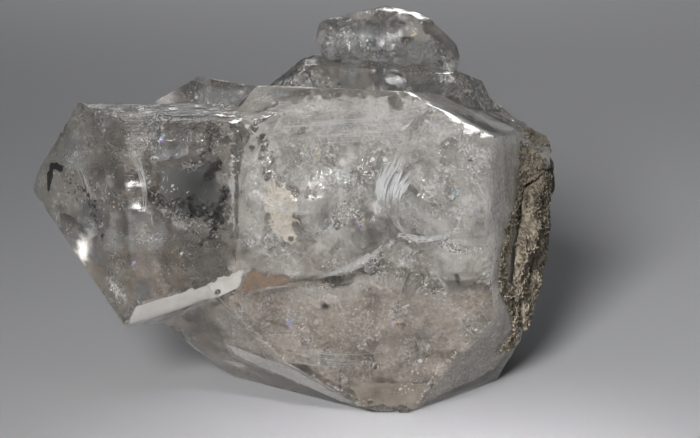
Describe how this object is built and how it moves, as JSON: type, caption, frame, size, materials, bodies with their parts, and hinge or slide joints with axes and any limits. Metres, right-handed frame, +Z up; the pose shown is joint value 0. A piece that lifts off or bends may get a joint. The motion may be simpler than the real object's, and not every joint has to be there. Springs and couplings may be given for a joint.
{
  "type": "herkimer diamond cluster",
  "caption": "Cluster of short, stout, water-clear quartz crystals grown through one another, with a scab of their rough host rock on one side, resting on a flat foot.",
  "frame": {"origin": "middle of the bounding box seen from above, at the height of the flat foot", "axes": "+X to the right seen from the front, where the rock is, +Y to the rear, +Z up"},
  "size_m": [0.1082, 0.0826, 0.0772],
  "materials": {
    "clear_quartz": "glassy crystal faces, some of them rough or broken",
    "dolostone": "rough, granular"
  },
  "bodies": {
    "root": {"quartz_crystals": "clear_quartz", "dolostone_rock": "dolostone"}
  },
  "joints": []
}
